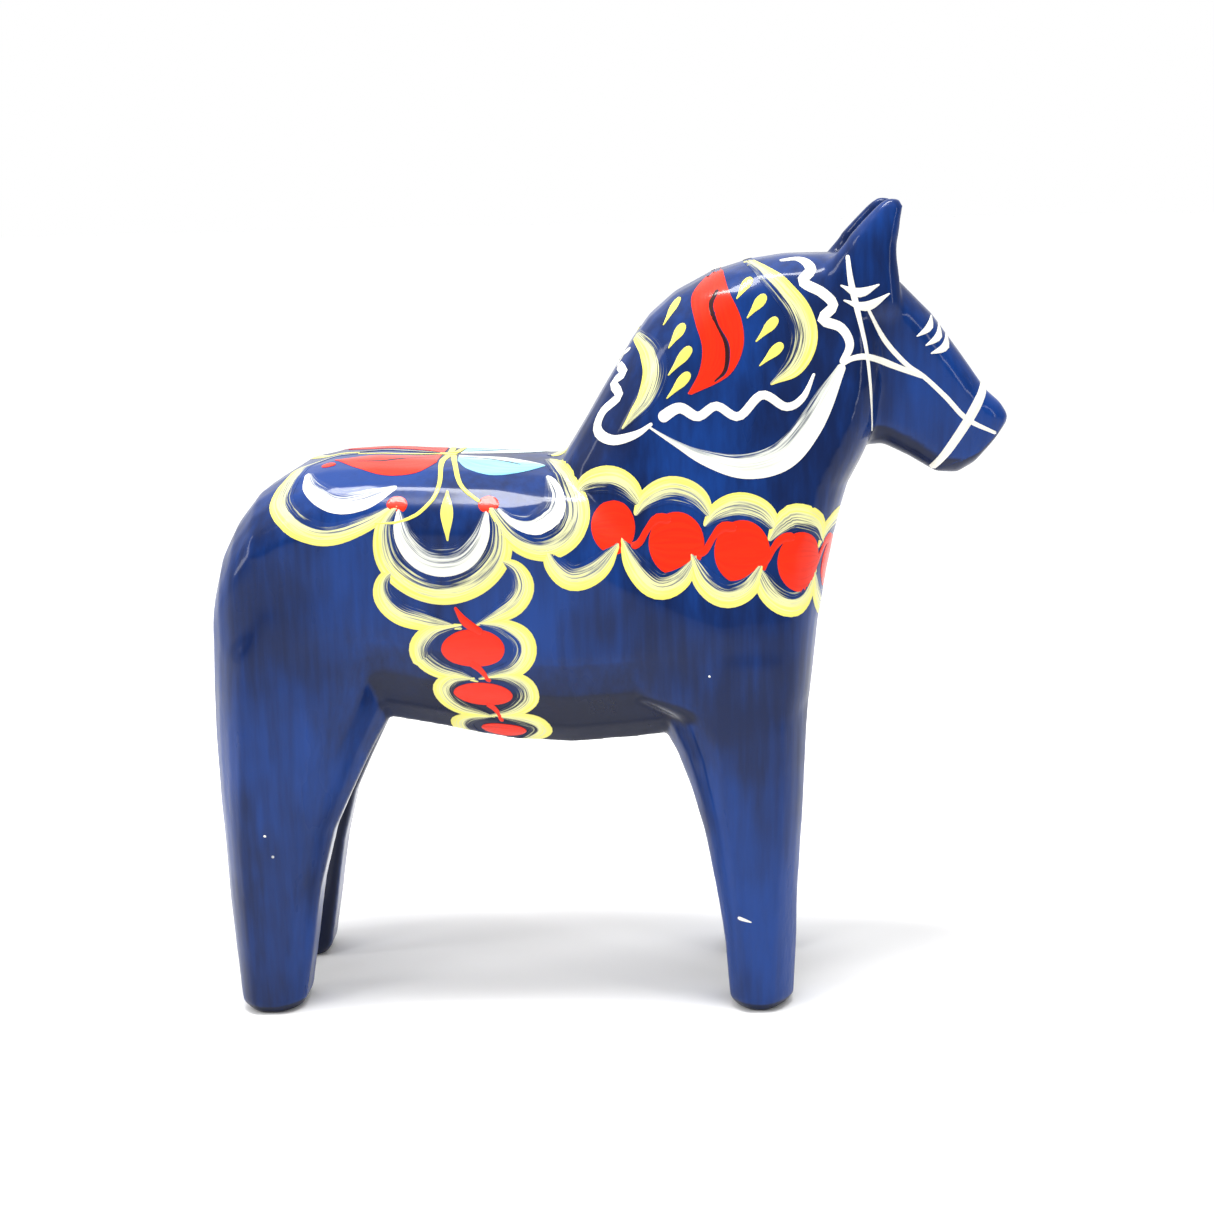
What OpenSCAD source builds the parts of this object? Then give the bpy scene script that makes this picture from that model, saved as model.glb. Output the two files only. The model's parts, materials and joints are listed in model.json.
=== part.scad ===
// Carved wooden horse of the Swedish folk type, glued up from three boards and then
// shaped with the knife. The legs are carved in the two flank boards only, so the
// centre board's thickness is the gap between the near and the far legs.
// X points forwards, Y to the horse's left, Z up, and the soles stand on Z = 0.

/* [Overall] */
// Length from rump to nose
horse_l = 245; // [180:1:320]
// Height from the floor to the tips of the ears
horse_h = 247; // [206:1:320]

/* [Boards] */
// Thickness of each flank board
flank_t = 26.5; // [22:0.5:34]
// Thickness of the centre board, which is also the gap between the legs
centre_t = 26.5; // [20:0.5:34]
// Thickness of the glue between two boards
glue_t = 0.25; // [0.1:0.05:0.5]

/* [Trunk] */
// Height of the belly above the floor
belly_h = 83; // [66:1:104]
// Height of the back above the floor
back_h = 172; // [150:1:200]
// Height of the bevel under each flank
belly_bevel_h = 30; // [18:1:36]
// Width of the bevel under each flank
belly_bevel_w = 21; // [12:1:25]
// How far the rounding of the back reaches down
back_round_h = 18; // [12:1:24]
// How far the rounding of the back reaches in from the flank
back_round_w = 25; // [16:1:28]

/* [Legs] */
// Length of a fore foot
fore_foot_l = 20; // [15:0.5:26]
// Length of a hind foot
hind_foot_l = 23.5; // [17:0.5:29]
// Thickness of a leg at the foot
foot_w = 22.5; // [17:0.5:26]
// Bevel along the front and back edges of the legs
leg_bevel = 7; // [4:0.5:8]
// Rounding of the rim of the soles
sole_round = 2; // [1:0.5:3]

/* [Neck and head] */
// Width of the neck behind the ears
neck_w = 44; // [42:1:54]
// Width of the head across the cheeks
cheek_w = 39; // [34:1:44]
// Width of the muzzle
muzzle_w = 25; // [20:1:32]
// Thickness of an ear at its root
ear_t = 9; // [6:0.5:10]
// Thickness of an ear at its tip
ear_tip_t = 3.5; // [2:0.5:5]

/* [Hidden] */

enamel_blue = [0.07, 0.14, 0.38];
glue_amber = [0.80, 0.68, 0.42];

// The carver's pattern is drawn once at these sizes, and is then stretched to the sizes above
pattern_l = 245;
pattern_mid = 2;                            // middle of the length on the pattern
pattern_belly = 83;
pattern_back = 172;
pattern_h = 247;
pattern_hind_foot = 23.5;
pattern_fore_foot = 20;

// Fullness of the corners that the knife rounds: 0 is a flat bevel and 1 is a quarter ellipse
back_full = 0.85;
belly_full = 0.45;
leg_full = 0.4;
sawn_full = 0.6;                            // the leg's inner edges
throat_full = 0.6;
crest_full = 0.8;

rib_t = 0.1;                                // thickness of the thin ribs that the hulls join
leg_in = centre_t / 2 + glue_t;             // inner face of a flank board
body_hw = leg_in + flank_t;                 // half the width over both flanks
skim = 0.15;                                // what the knife takes off the sawn faces of legs and ears
margin = 5;                                 // how far a cutting slab passes the horse

// Place on the horse of a length or a height on the pattern
function along(x) = (x - pattern_mid) * horse_l / pattern_l;
function lift(z) =
    z < pattern_belly ? z * belly_h / pattern_belly :
    z < pattern_back ? belly_h + (z - pattern_belly) * (back_h - belly_h)
                       / (pattern_back - pattern_belly) :
    back_h + (z - pattern_back) * (horse_h - back_h) / (pattern_h - pattern_back);

// Corner cut by the knife: points from a tangent on one side to a tangent on the other,
// around the outer corner at c. Fullness 0 is a flat bevel and 1 is a quarter ellipse.
function corner(c, du, dv, full, steps, flip) = [
    for (i = [0 : steps])
        let (s = flip ? steps - i : i, a = 90 * s / steps, k = s / steps)
        [c[0] - du * (1 - full * sin(a) - (1 - full) * k),
         c[1] - dv * (1 - full * cos(a) - (1 - full) * (1 - k))]
];

// Section across the body, symmetric about Y = 0: low and high ends, half-width, and the
// width and height of its upper and lower corners
function section(lo, hi, hw, up, low) = concat(
    corner([hw, hi], up[0], up[1], back_full, 4, false),
    corner([hw, lo], low[0], -low[1], belly_full, 3, true),
    corner([-hw, lo], -low[0], -low[1], belly_full, 3, false),
    corner([-hw, hi], -up[0], up[1], back_full, 4, true)
);

// Plan of one side of a leg, from the inner to the outer face
function leg_plan(x0, x1, y0, y1, b0, b1, inner) = concat(
    corner([x1, y1], b1[0], b1[1], leg_full, 3, true),
    corner([x1, y0], inner, -inner, sawn_full, 2, false),
    corner([x0, y0], -inner, -inner, sawn_full, 2, true),
    corner([x0, y1], -b0[0], b0[1], leg_full, 3, false)
);

// Plan of the chest and neck, symmetric about Y = 0: the corners at the crest and the throat
function neck_plan(x0, x1, hw, b0, b1) = concat(
    corner([x1, hw], b1[0], b1[1], throat_full, 4, true),
    corner([x1, -hw], b1[0], -b1[1], throat_full, 4, false),
    corner([x0, -hw], -b0[0], -b0[1], crest_full, 4, true),
    corner([x0, hw], -b0[0], b0[1], crest_full, 4, false)
);

// Trunk: place, belly, back, how far the flank lies in, upper corner, lower corner
up = [back_round_w, back_round_h];
low = [belly_bevel_w, belly_bevel_h];
TRUNK = [
    [-120.5, 100, 124, 20, [10, 9], [8, 8]],
    [-119.2, 96, 134, 14, [13, 12], [10, 12]],
    [-115.8, 93, 144.5, 8, [16, 15], [12, 16]],
    [-111, 91, 153.5, 3.5, [19, 16], [14, 20]],
    [-104, 91, 162.5, 1, [22, 17], [16, 24]],
    [-93, 91, 169, 0, up, [18, 26]],
    [-82, 91.5, 171.6, 0, up, low],
    [-68, 92, 172.2, 0, up, low],
    [-50, 88.5, 171.4, 0, up, low],
    [-30, 84.5, 170.5, 0, up, low],
    [-10, 83, 169.2, 0, [25, 24], low],
    [10, 84.5, 168, 0, [25, 34], low],
    [30, 87, 165, 0, [24, 40], [20, 27]],
    [50, 89, 152, 1.5, [20, 36], [16, 22]]
];

// Hind leg: height, back, front, front bevel's length and depth, back bevel's length and depth
HIND = [
    [3, -115.8, -95.4, [6, 7], [5, 6]],
    [20, -117, -92.6, [6.5, 7.5], [6, 8]],
    [40, -118.4, -89.2, [7, 9], [7, 10]],
    [57, -119.3, -84.8, [9.5, 12], [8, 12]],
    [69, -119.8, -79, [13.5, 15], [9, 13]],
    [81, -120.2, -73, [17.5, 18], [10, 14]],
    [92, -120.4, -67, [19, 20], [11, 15]],
    [104, -120.3, -61.5, [19, 21], [11.5, 15]],
    [116, -119.6, -56, [19, 22], [12, 15]],
    [128, -117.2, -56, [19, 22], [17, 20]]
];

// Bevels along the front of the fore leg and of the chest above it: length and depth
leg_arris = [leg_bevel, leg_bevel * 1.4];
chest_arris = [10, 17];

// Fore leg: height, back, front, back bevel's length and depth, and how far the front bevel
// has opened out into the chest's (0 to 1)
FORE = [
    [3, 38, 58, [5, 6], 0],
    [20, 36.8, 58.6, [5.5, 7], 0],
    [40, 33.8, 59.4, [6.5, 9], 0],
    [57, 30.4, 60.4, [8, 11], 0],
    [69, 27, 61, [10, 13], 0],
    [81, 22.4, 61.7, [13.5, 16], 0.1],
    [90, 17, 62.2, [17, 19], 0.3],
    [100, 10, 63, [20, 21], 0.6],
    [112, 3, 64, [21, 22], 1]
];

// Chest and neck: height, crest, throat, how far the side lies in, crest corner, throat corner
nape_hw = neck_w / 2;
shoulder = 112;                             // height where the neck starts to lean in
nape = 222;                                 // height where it has come down to its own width
neck_swell = 1.4;                           // how long it stays wide on the way up
chest_hw = body_hw - 2 * skim;
function neck_hw(z) = chest_hw - (chest_hw - nape_hw)
    * pow(min(1, max(0, (z - shoulder) / (nape - shoulder))), neck_swell);
NECK = [
    [85, 28, 60, 5, [16, 16], [7, 12]],
    [91, 24, 62, 1.5, [16, 16], [7.5, 14]],
    [100, 6, 63.3, 0, [16, 16], [8, 15]],
    [122, -8, 65.8, 0, [20, 18], [9, 16]],
    [137, -14, 68.3, 0, [22, 19], [9.5, 17]],
    [152, -15, 71.8, 0, [22, 18], [10, 17]],
    [163, -13.5, 75, 0, [22, 17], [10, 16]],
    [170.5, -11.5, 79, 0, [20, 16], [10, 15]],
    [181, -5, 84, 0, [18, 14], [10, 13]],
    [193, 2.2, 86, 0, [17, 13], [9, 11]],
    [205, 9.5, 86, 0, [17, 12], [9, 10]],
    [213, 15.5, 85, 0, [18, 12], [9, 10]],
    [220, 23.5, 83, 0, [20, 12], [9, 10]],
    [226, 35, 81, 2.5, [24, 11], [9, 9]],
    [229.4, 46.5, 79, 7, [22, 9], [9, 8]],
    [231, 58, 77, 11, [10, 6], [8, 6]]
];

// Head: foot and top of each rib, half-width, upper corner, lower corner
cheek_hw = cheek_w / 2;
muzzle_hw = muzzle_w / 2;
HEAD = [
    [[72, 160], [66, 230], cheek_hw + 1, [11, 9], [8, 8]],
    [[79.5, 173.5], [78, 229.6], cheek_hw + 0.5, [10, 9], [8, 8]],
    [[86, 173.8], [90.4, 223], cheek_hw, [9, 9], [7, 7]],
    [[94, 170], [100.6, 212.8], cheek_hw - 1.5, [9, 9], [6, 7]],
    [[102.6, 165], [109.6, 200.6], (cheek_hw + muzzle_hw) / 2, [8, 8], [5, 6]],
    [[109, 164.4], [117.6, 189.4], muzzle_hw + 1, [6, 6], [5, 5]],
    [[114, 167.2], [121.8, 185.8], muzzle_hw, [5, 5], [4, 4]],
    [[118.6, 172.2], [124.2, 182.2], muzzle_hw - 1.5, [4, 4], [3.5, 3.5]],
    [[122.2, 177.2], [124.4, 180.4], muzzle_hw - 4, [1.5, 1.5], [1.5, 1.5]]
];

// Ear: height, back, front, thickness as a step from root (0) to tip (1)
EAR = [
    [214, 66, 91, 0],
    [227, 68, 90, 0.15],
    [234, 73.4, 89.8, 0.35],
    [240.5, 79.4, 90.4, 0.6],
    [244.5, 83.4, 91.2, 0.8],
    [247, 86.4, 90, 1]
];

module trunk_rib(r)
    translate([along(r[0]), 0, 0]) rotate([90, 0, 90]) linear_extrude(rib_t)
        polygon(section(lift(r[1]), lift(r[2]), body_hw - r[3], r[4], r[5]));

module trunk()
    for (i = [0 : len(TRUNK) - 2]) hull() {
        trunk_rib(TRUNK[i]);
        trunk_rib(TRUNK[i + 1]);
    }

// A leg's thickness grows from the foot to nearly the whole flank board at the belly
function leg_out(z) = leg_in + foot_w + (flank_t - skim - foot_w) * min(1, z / pattern_belly);

module leg_rib(z, x0, x1, back, front, shrink = 0)
    translate([0, 0, max(0, lift(z) - (shrink > 0 ? lift(z) : 0))]) linear_extrude(rib_t)
        polygon(leg_plan(along(x0) + shrink, along(x1) - shrink, leg_in + skim + shrink,
                         leg_out(z) - shrink, back, front, leg_bevel / 2));

// The foot's length is set by itself, and the leg takes it up over the shank
function shank(z) = max(0, 1 - z / pattern_belly);

module hind_rib(r, shrink = 0) {
    grow = (hind_foot_l - pattern_hind_foot) * shank(r[0]);
    leg_rib(r[0], r[1], r[2] + grow, r[4], r[3], shrink);
}

module fore_rib(r, shrink = 0) {
    grow = (fore_foot_l - pattern_fore_foot) * shank(r[0]);
    front = leg_arris + (chest_arris - leg_arris) * r[4];
    leg_rib(r[0], r[1] - grow, r[2], r[3], front, shrink);
}

module left_legs() {
    hull() {
        hind_rib(HIND[0], sole_round);
        hind_rib(HIND[0]);
    }
    for (i = [0 : len(HIND) - 2]) hull() {
        hind_rib(HIND[i]);
        hind_rib(HIND[i + 1]);
    }
    hull() {
        fore_rib(FORE[0], sole_round);
        fore_rib(FORE[0]);
    }
    for (i = [0 : len(FORE) - 2]) hull() {
        fore_rib(FORE[i]);
        fore_rib(FORE[i + 1]);
    }
}

module neck_rib(r)
    translate([0, 0, lift(r[0])]) linear_extrude(rib_t)
        polygon(neck_plan(along(r[1]), along(r[2]), neck_hw(r[0]) - r[3], r[4], r[5]));

module neck()
    for (i = [0 : len(NECK) - 2]) hull() {
        neck_rib(NECK[i]);
        neck_rib(NECK[i + 1]);
    }

module head_rib(r) {
    foot = [along(r[0][0]), lift(r[0][1])];
    top = [along(r[1][0]), lift(r[1][1])];
    lean = atan2(top[0] - foot[0], top[1] - foot[1]);
    translate([foot[0], 0, foot[1]]) rotate([0, lean, 0]) rotate([90, 0, 90])
        linear_extrude(rib_t) polygon(section(0, norm(top - foot), r[2], r[3], r[4]));
}

module head()
    for (i = [0 : len(HEAD) - 2]) hull() {
        head_rib(HEAD[i]);
        head_rib(HEAD[i + 1]);
    }

module ear_rib(r) {
    t = ear_t + (ear_tip_t - ear_t) * r[3];
    edge = t / 2.5;
    translate([0, 0, lift(r[0]) - (r[3] == 1 ? rib_t : 0)]) linear_extrude(rib_t)
        polygon(leg_plan(along(r[1]), along(r[2]), leg_in + skim, leg_in + t,
                         [edge, edge], [edge, edge], edge / 2));
}

module left_ear()
    for (i = [0 : len(EAR) - 2]) hull() {
        ear_rib(EAR[i]);
        ear_rib(EAR[i + 1]);
    }

module carved_core() {
    trunk();
    neck();
    head();
}

// What the carving leaves of a board or a glue line that lies between two planes across Y
module layer(y0, y1)
    intersection() {
        children();
        translate([-horse_l, y0, -margin]) cube([2 * horse_l, y1 - y0, horse_h + 2 * margin]);
    }

module left_board()
    color(enamel_blue) layer(leg_in, body_hw + margin) {
        union() {
            carved_core();
            left_legs();
            left_ear();
        }
    }

module left_glue() color(glue_amber) layer(centre_t / 2, leg_in) carved_core();

module left_flank_board() left_board();
module left_glue_line() left_glue();
module centre_board() color(enamel_blue) layer(-centre_t / 2, centre_t / 2) carved_core();
module right_glue_line() mirror([0, 1, 0]) left_glue();
module right_flank_board() mirror([0, 1, 0]) left_board();

right_flank_board();
right_glue_line();
centre_board();
left_glue_line();
left_flank_board();
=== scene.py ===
import json
import logging
import math
from dataclasses import dataclass, field
from enum import Enum

import bpy
from mathutils import Matrix, Vector, noise
from mathutils.bvhtree import BVHTree

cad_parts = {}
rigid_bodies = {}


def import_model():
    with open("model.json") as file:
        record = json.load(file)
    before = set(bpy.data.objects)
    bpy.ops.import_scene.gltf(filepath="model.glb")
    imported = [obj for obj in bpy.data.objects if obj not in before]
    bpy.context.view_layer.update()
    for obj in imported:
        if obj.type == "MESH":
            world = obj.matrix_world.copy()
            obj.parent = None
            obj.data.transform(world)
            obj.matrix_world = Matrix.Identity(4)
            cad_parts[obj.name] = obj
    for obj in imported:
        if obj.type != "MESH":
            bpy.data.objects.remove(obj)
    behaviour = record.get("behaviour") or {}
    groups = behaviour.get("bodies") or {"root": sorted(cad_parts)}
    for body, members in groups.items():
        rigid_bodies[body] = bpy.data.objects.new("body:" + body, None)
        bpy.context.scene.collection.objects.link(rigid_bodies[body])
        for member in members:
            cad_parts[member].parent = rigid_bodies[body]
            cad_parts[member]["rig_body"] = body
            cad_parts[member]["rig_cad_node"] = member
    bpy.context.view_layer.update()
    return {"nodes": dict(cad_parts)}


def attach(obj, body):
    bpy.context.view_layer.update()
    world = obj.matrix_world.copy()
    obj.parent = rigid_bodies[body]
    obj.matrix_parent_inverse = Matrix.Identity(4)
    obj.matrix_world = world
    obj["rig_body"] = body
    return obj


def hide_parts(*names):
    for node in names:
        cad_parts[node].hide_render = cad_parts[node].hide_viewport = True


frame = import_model()

logging.basicConfig(level=logging.INFO, format="%(levelname)s %(message)s")
LOG = logging.getLogger("painted_horse")

MM = 0.001
BOARDS = ("right_flank_board", "right_glue_line", "centre_board", "left_glue_line",
          "left_flank_board")
WELD = 0.00001
CRISP = math.radians(50)
Point = tuple[float, ...]


class Side(Enum):
    """A side of the horse, as the sign of Y."""

    RIGHT = -1
    LEFT = 1


class Chart(Enum):
    """How a brush stroke's points are laid out on the carved surface."""

    FLANK = "length and height, seen square from the side"
    BARREL = "length, and the way from the spine down round the trunk"
    CHEST = "the way along the flank and on round the chest, and height"


# ---------------------------------------------------------------- object tools


def deselect() -> None:
    """Leaves nothing selected and no object in edit mode."""
    if bpy.context.object and bpy.context.object.mode != "OBJECT":
        bpy.ops.object.mode_set(mode="OBJECT")
    bpy.ops.object.select_all(action="DESELECT")


def pick(*objects: bpy.types.Object) -> None:
    """Selects only these objects and makes the first one active."""
    deselect()
    for item in objects:
        item.select_set(True)
    bpy.context.view_layer.objects.active = objects[0]


def apply_modifier(item: bpy.types.Object, kind: str, **settings: object) -> None:
    """Adds a modifier to an object and applies it.

    Args:
        item: The object to work on.
        kind: Blender's name for the modifier.
        settings: The modifier's values.
    """
    pick(item)
    bpy.ops.object.modifier_add(type=kind)
    modifier = item.modifiers[-1]
    for name, value in settings.items():
        setattr(modifier, name, value)
    bpy.ops.object.modifier_apply(modifier=modifier.name)


# ---------------------------------------------------------------- shader tools


class Sketch:
    """A material's node tree, with short calls for the nodes that the finishes share."""

    def __init__(self, name: str) -> None:
        """Starts an empty material with one glossy paint shader."""
        self.material = bpy.data.materials.new(name)
        self.material.use_nodes = True
        self.tree = self.material.node_tree
        self.shader = self.tree.nodes["Principled BSDF"]

    def node(self, kind: str, **inputs: object) -> bpy.types.Node:
        """Adds a node and fills its inputs.

        Args:
            kind: The node's type, without its ShaderNode prefix.
            inputs: Values or sockets by input name; a name starting with set_ is a property.

        Returns:
            The new node.
        """
        made = self.tree.nodes.new("ShaderNode" + kind)
        for name, value in inputs.items():
            if name.startswith("set_"):
                setattr(made, name[4:], value)
        for name, value in inputs.items():
            if not name.startswith("set_"):
                self.feed(made.inputs[name.replace("_", " ")], value)
        return made

    def feed(self, socket: bpy.types.NodeSocket, value: object) -> None:
        """Links a socket into an input, or writes a plain value there."""
        if isinstance(value, bpy.types.NodeSocket):
            self.tree.links.new(value, socket)
        else:
            socket.default_value = value

    def math(self, way: str, a: object, b: object = 0.0, clamp: bool = False) -> bpy.types.NodeSocket:
        """Returns the result of one arithmetic step on two values."""
        made = self.tree.nodes.new("ShaderNodeMath")
        made.operation = way
        made.use_clamp = clamp
        self.feed(made.inputs[0], a)
        self.feed(made.inputs[1], b)
        return made.outputs[0]

    def span(self, value: object, low: float, high: float, to_low: float = 0.0,
             to_high: float = 1.0) -> bpy.types.NodeSocket:
        """Returns a value stretched from one range to another with soft ends."""
        made = self.node("MapRange", set_interpolation_type="SMOOTHSTEP")
        for index, item in enumerate((value, low, high, to_low, to_high)):
            self.feed(made.inputs[index], item)
        return made.outputs[0]

    def mix(self, amount: object, a: object, b: object) -> bpy.types.NodeSocket:
        """Returns a blend of two colours."""
        made = self.tree.nodes.new("ShaderNodeMix")
        made.data_type = "RGBA"
        self.feed(made.inputs[0], amount)
        self.feed(made.inputs[6], a)
        self.feed(made.inputs[7], b)
        return made.outputs[2]

    def grain(self, place: object, scale: Point, detail: float = 3.0,
              rough: float = 0.55) -> bpy.types.NodeSocket:
        """Returns noise between 0 and 1, stretched by its scale along each axis."""
        spread = self.node("Mapping", Vector=place, Scale=scale)
        made = self.node("TexNoise", Vector=spread.outputs[0], Scale=1.0, Detail=detail,
                         Roughness=rough)
        return made.outputs[0]

    def bump(self, height: object, strength: float, distance: float) -> None:
        """Adds relief under the shader's gloss."""
        made = self.node("Bump", Height=height, Strength=strength, Distance=distance)
        self.feed(self.shader.inputs["Normal"], made.outputs[0])


def linear(red: int, green: int, blue: int) -> tuple[float, float, float, float]:
    """Returns a paint shade given on a 0 to 255 scale, as linear light."""
    parts = [c / 255 for c in (red, green, blue)]
    return tuple(c / 12.92 if c <= 0.04045 else ((c + 0.055) / 1.055) ** 2.4 for c in parts) + (1.0,)


@dataclass(frozen=True)
class Enamel:
    """The deep blue base coat, brushed on along the grain and varnished, with painted shade near black
    under the belly and inside the legs.
    """

    deep: tuple = linear(3, 24, 66)
    light: tuple = linear(10, 54, 124)
    painted_shade_blue: tuple = linear(8, 14, 36)
    primer: tuple = linear(222, 222, 214)
    # Where the painted shade reaches: inward from the middle, up the legs, and up to the brow.
    inner_reach: float = 14 * MM
    leg_top: float = 100 * MM
    brow: float = 192 * MM

    def blue_and_painted_shade(self, sketch: Sketch) -> bpy.types.NodeSocket:
        """Returns the blue with its streaks, and painted shade near black on faces that look down below
        the brow and on the inner faces of the legs.

        Args:
            sketch: The material to draw it in.
        """
        place = sketch.node("TexCoord").outputs["Object"]
        streaks = sketch.grain(place, (420.0, 420.0, 34.0), 4.0)
        clouds = sketch.grain(place, (24.0, 24.0, 15.0), 3.0)
        both = sketch.math("ADD", sketch.math("MULTIPLY", streaks, 0.22),
                           sketch.math("MULTIPLY", clouds, 0.78))
        blue = sketch.mix(sketch.span(both, 0.36, 0.66), self.deep, self.light)
        # Painted shade: faces that look down, below the brow, turn near black.
        facing = sketch.node("SeparateXYZ", Vector=sketch.node("NewGeometry").outputs["Normal"])
        spot = sketch.node("SeparateXYZ", Vector=place)
        under_brow = sketch.span(spot.outputs[2], self.brow, self.brow + 8 * MM, 1.0, 0.0)
        painted_shade_below = sketch.math("MULTIPLY", sketch.span(facing.outputs[2], -0.5, -0.3, 0.86, 0.0),
                            under_brow)
        # Painted shade: faces that look in towards the middle turn near black, on the legs only.
        inward = sketch.math("MULTIPLY", sketch.math("MULTIPLY", facing.outputs[1], spot.outputs[1]),
                             -1 / self.inner_reach)
        inside = sketch.span(inward, 0.15, 0.75, 0.0, 0.9)
        legs = sketch.span(spot.outputs[2], self.leg_top, self.leg_top + 12 * MM, 1.0, 0.0)
        painted_shade_amount = sketch.math("MAXIMUM", painted_shade_below, sketch.math("MULTIPLY", inside, legs))
        return sketch.mix(painted_shade_amount, blue, self.painted_shade_blue)

    def relief(self, sketch: Sketch) -> bpy.types.NodeSocket:
        """Returns the height of the grain and brush marks that show through the gloss."""
        place = sketch.node("TexCoord").outputs["Object"]
        ridges = sketch.grain(place, (800.0, 800.0, 28.0), 3.0)
        peel = sketch.grain(place, (130.0, 130.0, 60.0), 2.0)
        patches = sketch.span(sketch.grain(place, (26.0, 26.0, 20.0), 2.0), 0.48, 0.7)
        torn = sketch.grain(place, (460.0, 460.0, 190.0), 4.0)
        total = sketch.math("ADD", sketch.math("MULTIPLY", ridges, 0.22),
                            sketch.math("MULTIPLY", peel, 0.6))
        rough = sketch.math("MULTIPLY", torn, sketch.math("MULTIPLY", patches, 1.8))
        return sketch.math("ADD", total, rough)

    def make(self) -> bpy.types.Material:
        """Returns the finished material."""
        sketch = Sketch("blue_enamel")
        place = sketch.node("TexCoord").outputs["Object"]
        cells = sketch.node("TexVoronoi", Vector=place, Scale=75.0)
        small = sketch.span(cells.outputs["Distance"], 0.035, 0.05, 1.0, 0.0)
        few = sketch.span(sketch.grain(place, (45.0, 45.0, 45.0), 1.0), 0.66, 0.70)
        chips = sketch.math("MULTIPLY", small, few)
        sketch.feed(sketch.shader.inputs["Base Color"],
                    sketch.mix(chips, self.blue_and_painted_shade(sketch), self.primer))
        wear = sketch.grain(place, (60.0, 60.0, 24.0), 3.0)
        sketch.feed(sketch.shader.inputs["Roughness"], sketch.span(wear, 0.3, 0.7, 0.26, 0.42))
        sketch.shader.inputs["Specular IOR Level"].default_value = 0.08
        sketch.shader.inputs["Coat Weight"].default_value = 0.32
        sketch.shader.inputs["Coat Roughness"].default_value = 0.08
        sketch.bump(self.relief(sketch), 0.3, 0.0004)
        return sketch.material


@dataclass(frozen=True)
class BrushPaint:
    """Ornament paint laid down in one stroke of a round brush.

    The outer edge carries the full colour. Towards the inner edge the brush runs pale and
    then dry, and its bristle marks let the blue through.
    """

    name: str
    full: tuple
    pale: tuple
    pale_below: float = -1.0
    dry_below: float = -1.0
    depth: float = 0.25

    def make(self, enamel: Enamel) -> bpy.types.Material:
        """Returns the finished material.

        Args:
            enamel: The base coat, with its painted shade, that shows where the brush ran dry.
        """
        sketch = Sketch(self.name)
        stroke_map = sketch.node("UVMap", set_uv_map="Stroke").outputs[0]
        split = sketch.node("SeparateXYZ", Vector=stroke_map)
        lanes = sketch.node("CombineXYZ", X=split.outputs[0], Y=split.outputs[1])
        bristles = sketch.grain(lanes.outputs[0], (0.45, 12.0, 1.0), 4.0, 0.6)
        sharp = sketch.span(bristles, 0.28, 0.72)
        ragged = sketch.math("ADD", split.outputs[1],
                             sketch.math("MULTIPLY", sketch.math("SUBTRACT", sharp, 0.5), 0.6))
        colour = sketch.mix(sketch.span(ragged, self.pale_below - 0.25, self.pale_below + 0.25),
                            self.pale, self.full)
        darker = sketch.mix(sketch.span(sharp, 0.0, 1.0, self.depth, 0.0), colour,
                            tuple(c * 0.62 for c in self.pale[:3]) + (1.0,))
        # Where the brush ran dry the blue shows through, with its painted shade under the belly and inside
        # the legs.
        cover = sketch.span(ragged, self.dry_below - 0.2, self.dry_below + 0.2)
        sketch.feed(sketch.shader.inputs["Base Color"],
                    sketch.mix(cover, enamel.blue_and_painted_shade(sketch), darker))
        sketch.shader.inputs["Roughness"].default_value = 0.36
        sketch.shader.inputs["Specular IOR Level"].default_value = 0.12
        sketch.shader.inputs["Coat Weight"].default_value = 0.34
        sketch.shader.inputs["Coat Roughness"].default_value = 0.10
        sketch.bump(bristles, 0.4, 0.0002)
        return sketch.material


# ---------------------------------------------------------------- carved body


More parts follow.
